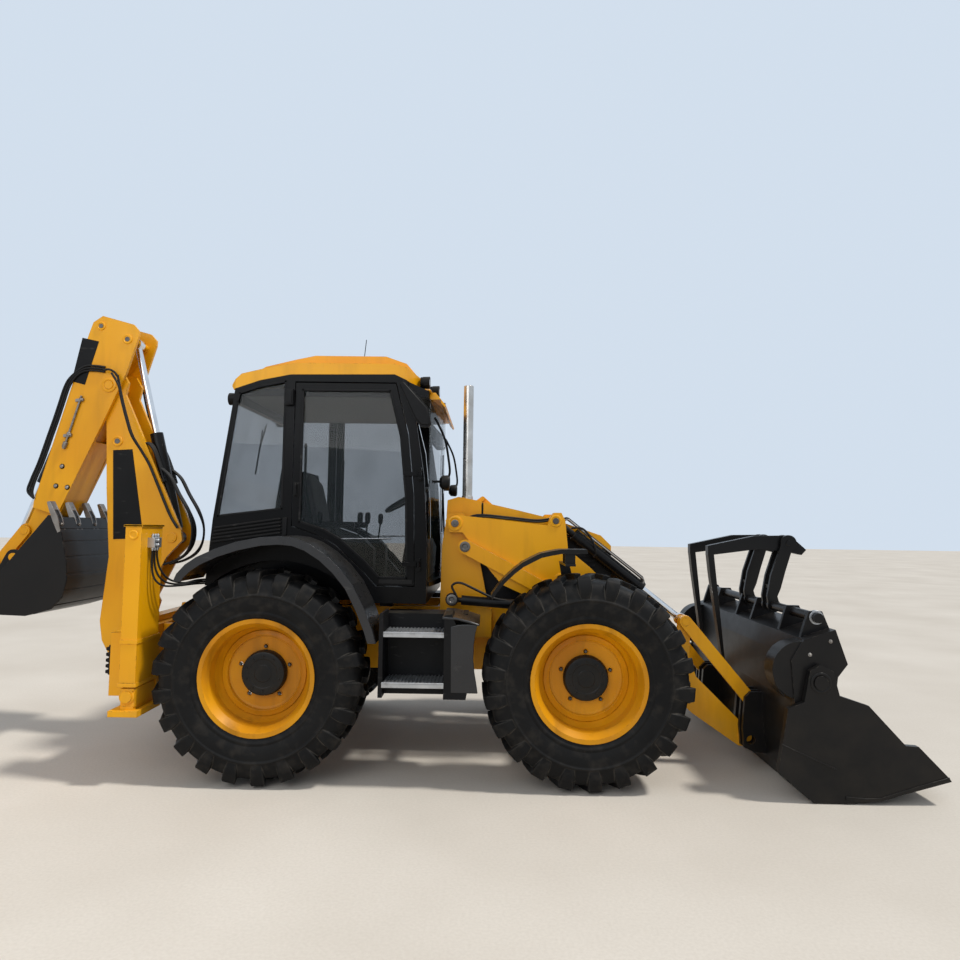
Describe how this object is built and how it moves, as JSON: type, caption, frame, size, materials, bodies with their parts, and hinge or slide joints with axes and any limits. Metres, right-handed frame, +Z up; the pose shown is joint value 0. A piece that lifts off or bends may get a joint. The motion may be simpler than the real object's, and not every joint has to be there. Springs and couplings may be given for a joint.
{
  "type": "backhoe loader",
  "caption": "Backhoe loader with four equal steered wheels, glazed cab, clam shovel with folding forks, sliding digging arm with extending dipper and two stabiliser legs",
  "frame": {"origin": "on the ground plane under the middle of the part's bounding box in length and width", "axes": "+X forward to the shovel, +Y to the machine's left, +Z up"},
  "size_m": [7.123, 2.464, 3.4564],
  "materials": {
    "yellow": "gloss paint, dusty",
    "black_paint": "satin black paint, scuffed",
    "plastic": "moulded dark plastic",
    "glass": "tinted window glass",
    "chrome": "polished ram rods",
    "engine_iron": "cast iron",
    "tyre": "black rubber with dust"
  },
  "bodies": {
    "chassis": {"chassis": "yellow", "engine": "engine_iron", "front_axle": "black_paint", "rear_axle": "black_paint", "cab_frame": "black_paint", "cab_roof": "yellow", "cab_glass": "glass", "cab_inside": "plastic", "rear_fenders": "plastic", "side_modules": "plastic", "nose": "plastic", "cowl": "yellow", "stabiliser_cases": "yellow", "lamps_mirrors": "plastic"},
    "hood": {"hood": "yellow"},
    "door_left": {"door_l": "black_paint", "door_glass_l": "glass"},
    "door_right": {"door_r": "black_paint", "door_glass_r": "glass"},
    "stabiliser_left": {"stabiliser_l": "yellow"},
    "stabiliser_right": {"stabiliser_r": "yellow"},
    "carriage": {"carriage": "yellow"},
    "kingpost": {"kingpost": "yellow"},
    "boom": {"boom": "yellow"},
    "boom_barrel": {"boom_ram_barrel": "black_paint"},
    "boom_rod": {"boom_ram_rod": "chrome"},
    "dipper": {"dipper": "yellow"},
    "dipper_barrel": {"dipper_ram_barrel": "black_paint"},
    "dipper_rod": {"dipper_ram_rod": "chrome"},
    "inner_dipper": {"dipper_inner": "yellow"},
    "crowd_barrel": {"crowd_ram_barrel": "black_paint"},
    "crowd_rod": {"crowd_ram_rod": "chrome"},
    "lever": {"bucket_lever": "yellow"},
    "bucket_links": {"bucket_link": "black_paint"},
    "digging_bucket": {"bucket": "black_paint"},
    "arms": {"loader_arms": "yellow"},
    "lift_barrels": {"lift_ram_barrels": "black_paint"},
    "lift_rods": {"lift_ram_rods": "chrome"},
    "tilt_barrels": {"tilt_ram_barrels": "black_paint"},
    "tilt_rods": {"tilt_ram_rods": "chrome"},
    "tilt_lever_pair": {"tilt_levers": "yellow"},
    "tilt_link_pair": {"tilt_links": "yellow"},
    "level_link_pair": {"level_links": "yellow"},
    "level_lever_pair": {"level_levers": "yellow"},
    "shovel": {"shovel_back": "black_paint"},
    "clam": {"shovel_clam": "black_paint"},
    "fork_carriers": {"fork_arms": "black_paint"},
    "fork_tines": {"forks": "black_paint"},
    "steer_fl": {"knuckle_fl": "black_paint"},
    "wheel_fl": {"rim_fl": "yellow", "tyre_fl": "tyre"},
    "steer_fr": {"knuckle_fr": "black_paint"},
    "wheel_fr": {"rim_fr": "yellow", "tyre_fr": "tyre"},
    "steer_rl": {"knuckle_rl": "black_paint"},
    "wheel_rl": {"rim_rl": "yellow", "tyre_rl": "tyre"},
    "steer_rr": {"knuckle_rr": "black_paint"},
    "wheel_rr": {"rim_rr": "yellow", "tyre_rr": "tyre"}
  },
  "joints": [
    {"name": "front_steer", "type": "hinge", "parent": "chassis", "child": "steer_fl", "pos_m": [1.249, 0.8, 0.7175], "axis": [0, 0, 1], "range_deg": [-16, 16]},
    {"name": "front_steer_right", "type": "hinge", "parent": "chassis", "child": "steer_fr", "pos_m": [1.249, -0.8, 0.7175], "axis": [0, 0, 1], "range_deg": [-16, 16]},
    {"name": "rear_steer", "type": "hinge", "parent": "chassis", "child": "steer_rl", "pos_m": [-0.971, 0.8, 0.7175], "axis": [0, 0, 1], "range_deg": [-14, 14]},
    {"name": "rear_steer_right", "type": "hinge", "parent": "chassis", "child": "steer_rr", "pos_m": [-0.971, -0.8, 0.7175], "axis": [0, 0, 1], "range_deg": [-14, 14]},
    {"name": "roll_fl", "type": "hinge", "parent": "steer_fl", "child": "wheel_fl", "pos_m": [1.249, 0.96, 0.7175], "axis": [0, 1, 0], "continuous": true},
    {"name": "roll_fr", "type": "hinge", "parent": "steer_fr", "child": "wheel_fr", "pos_m": [1.249, -0.96, 0.7175], "axis": [0, 1, 0], "continuous": true},
    {"name": "roll_rl", "type": "hinge", "parent": "steer_rl", "child": "wheel_rl", "pos_m": [-0.971, 0.96, 0.7175], "axis": [0, 1, 0], "continuous": true},
    {"name": "roll_rr", "type": "hinge", "parent": "steer_rr", "child": "wheel_rr", "pos_m": [-0.971, -0.96, 0.7175], "axis": [0, 1, 0], "continuous": true},
    {"name": "door_left_hinge", "type": "hinge", "parent": "chassis", "child": "door_left", "pos_m": [0.059, 0.775, 2], "axis": [0, 0, -1], "range_deg": [0, 80]},
    {"name": "door_right_hinge", "type": "hinge", "parent": "chassis", "child": "door_right", "pos_m": [0.059, -0.775, 2], "axis": [0, 0, 1], "range_deg": [0, 80]},
    {"name": "hood_hinge", "type": "hinge", "parent": "chassis", "child": "hood", "pos_m": [0.517, 0, 1.97], "axis": [0, -1, 0], "range_deg": [0, 50]},
    {"name": "stabiliser_left_slide", "type": "slide", "parent": "chassis", "child": "stabiliser_left", "axis": [0, 0, -1], "range_m": [0, 0.5]},
    {"name": "stabiliser_right_slide", "type": "slide", "parent": "chassis", "child": "stabiliser_right", "axis": [0, 0, -1], "range_m": [0, 0.5]},
    {"name": "side_shift", "type": "slide", "parent": "chassis", "child": "carriage", "axis": [0, 1, 0], "range_m": [-0.5, 0.5]},
    {"name": "slew", "type": "hinge", "parent": "carriage", "child": "kingpost", "pos_m": [-2.296, 0, 0.76], "axis": [0, 0, 1], "range_deg": [-90, 90]},
    {"name": "boom_lift", "type": "hinge", "parent": "kingpost", "child": "boom", "pos_m": [-2.431, 0, 0.76], "axis": [0, -1, 0], "range_deg": [0, 105]},
    {"name": "boom_ram_turn", "type": "hinge", "parent": "kingpost", "child": "boom_barrel", "pos_m": [-2.246, 0, 1.085], "axis": [0, 1, 0], "range_deg": [-107.4, 0]},
    {"name": "boom_ram_stroke", "type": "slide", "parent": "boom_barrel", "child": "boom_rod", "axis": [-0.2017, 0, 0.9795], "range_m": [0, 0.59536]},
    {"name": "dipper_fold", "type": "hinge", "parent": "boom", "child": "dipper", "pos_m": [-2.593, 0, 2.873], "axis": [0, 1, 0], "range_deg": [0, 120]},
    {"name": "dipper_ram_turn", "type": "hinge", "parent": "boom", "child": "dipper_barrel", "pos_m": [-2.035, 0, 1.621], "axis": [0, 1, 0], "range_deg": [0, 5.2]},
    {"name": "dipper_ram_stroke", "type": "slide", "parent": "dipper_barrel", "child": "dipper_rod", "axis": [-0.2484, 0, 0.9687], "range_m": [-0.71423, 0]},
    {"name": "dipper_extend", "type": "slide", "parent": "dipper", "child": "inner_dipper", "axis": [-0.3502, 0, -0.9367], "range_m": [0, 0.6]},
    {"name": "bucket_curl", "type": "hinge", "parent": "inner_dipper", "child": "digging_bucket", "pos_m": [-3.283, 0, 1.448], "axis": [0, 1, 0], "range_deg": [0, 150]},
    {"name": "lever_turn", "type": "hinge", "parent": "inner_dipper", "child": "lever", "pos_m": [-3.246, 0, 1.66], "axis": [0, 1, 0], "range_deg": [0, 134.31]},
    {"name": "link_turn", "type": "hinge", "parent": "lever", "child": "bucket_links", "pos_m": [-3.466, 0, 1.375], "axis": [0, 1, 0], "range_deg": [-121.4, 0]},
    {"name": "crowd_ram_turn", "type": "hinge", "parent": "inner_dipper", "child": "crowd_barrel", "pos_m": [-2.71, 0, 3.37], "axis": [0, 1, 0], "range_deg": [0, 8.38]},
    {"name": "crowd_ram_stroke", "type": "slide", "parent": "crowd_barrel", "child": "crowd_rod", "axis": [-0.3544, 0, -0.9351], "range_m": [-0.63427, 0]},
    {"name": "arm_lift", "type": "hinge", "parent": "chassis", "child": "arms", "pos_m": [0.309, 0, 1.768], "axis": [0, -1, 0], "range_deg": [0, 73]},
    {"name": "lift_ram_turn", "type": "hinge", "parent": "chassis", "child": "lift_barrels", "pos_m": [0.299, 0, 1.199], "axis": [0, 1, 0], "range_deg": [-62.87, 0]},
    {"name": "lift_ram_stroke", "type": "slide", "parent": "lift_barrels", "child": "lift_rods", "axis": [0.9978, 0, -0.0668], "range_m": [0, 0.63714]},
    {"name": "level_link_turn", "type": "hinge", "parent": "chassis", "child": "level_link_pair", "pos_m": [0.389, 0, 1.592], "axis": [0, -1, 0], "range_deg": [0, 73.5]},
    {"name": "level_lever_turn", "type": "hinge", "parent": "arms", "child": "level_lever_pair", "pos_m": [1.119, 0, 1.353], "axis": [0, -1, 0], "range_deg": [-73.5, 0]},
    {"name": "shovel_tilt", "type": "hinge", "parent": "arms", "child": "shovel", "pos_m": [2.509, 0, 0.215], "axis": [0, 1, 0], "range_deg": [-22, 110]},
    {"name": "tilt_lever_turn", "type": "hinge", "parent": "arms", "child": "tilt_lever_pair", "pos_m": [2.024, 0, 0.795], "axis": [0, 1, 0], "range_deg": [-22.5, 110.5]},
    {"name": "tilt_link_turn", "type": "hinge", "parent": "tilt_lever_pair", "child": "tilt_link_pair", "pos_m": [2.049, 0, 1.058], "axis": [0, 1, 0], "range_deg": [-110.5, 22.5]},
    {"name": "tilt_ram_turn", "type": "hinge", "parent": "arms", "child": "tilt_barrels", "pos_m": [1.096, 0, 1.795], "axis": [0, 1, 0], "range_deg": [-1.11, 3.57]},
    {"name": "tilt_ram_stroke", "type": "slide", "parent": "tilt_barrels", "child": "tilt_rods", "axis": [0.791, 0, -0.6118], "range_m": [-0.08163, 0.40016]},
    {"name": "clam_open", "type": "hinge", "parent": "shovel", "child": "clam", "pos_m": [2.737, 0, 0.765], "axis": [0, -1, 0], "range_deg": [0, 60]},
    {"name": "fork_turnover", "type": "hinge", "parent": "shovel", "child": "fork_carriers", "pos_m": [2.779, 0, 1.168], "axis": [0, -1, 0], "range_deg": [-95, 0]},
    {"name": "fork_fold", "type": "hinge", "parent": "fork_carriers", "child": "fork_tines", "pos_m": [2.898, 0, 1.651], "axis": [0, -1, 0], "range_deg": [-175, 0]}
  ],
  "couplings": [
    {"joint": "front_steer_right", "follows": "front_steer", "ratio": 1},
    {"joint": "rear_steer_right", "follows": "rear_steer", "ratio": 1},
    {"joint": "boom_ram_turn", "follows": "boom_lift", "ratio": -1.0181},
    {"joint": "boom_ram_stroke", "follows": "boom_lift", "m_per_rad": 0.32378},
    {"joint": "dipper_ram_turn", "follows": "dipper_fold", "ratio": 0.039146},
    {"joint": "dipper_ram_stroke", "follows": "dipper_fold", "m_per_rad": -0.34007},
    {"joint": "lever_turn", "follows": "bucket_curl", "ratio": 0.89208},
    {"joint": "link_turn", "follows": "bucket_curl", "ratio": -0.806},
    {"joint": "crowd_ram_turn", "follows": "bucket_curl", "ratio": 0.052544},
    {"joint": "crowd_ram_stroke", "follows": "bucket_curl", "m_per_rad": -0.24151},
    {"joint": "lift_ram_turn", "follows": "arm_lift", "ratio": -0.85441},
    {"joint": "lift_ram_stroke", "follows": "arm_lift", "m_per_rad": 0.49851},
    {"joint": "level_link_turn", "follows": "arm_lift", "ratio": 1},
    {"joint": "level_lever_turn", "follows": "arm_lift", "ratio": -1},
    {"joint": "tilt_lever_turn", "follows": "shovel_tilt", "ratio": 1},
    {"joint": "tilt_link_turn", "follows": "shovel_tilt", "ratio": -1},
    {"joint": "tilt_ram_turn", "follows": "shovel_tilt", "ratio": 0.027886},
    {"joint": "tilt_ram_stroke", "follows": "shovel_tilt", "m_per_rad": 0.20739}
  ]
}
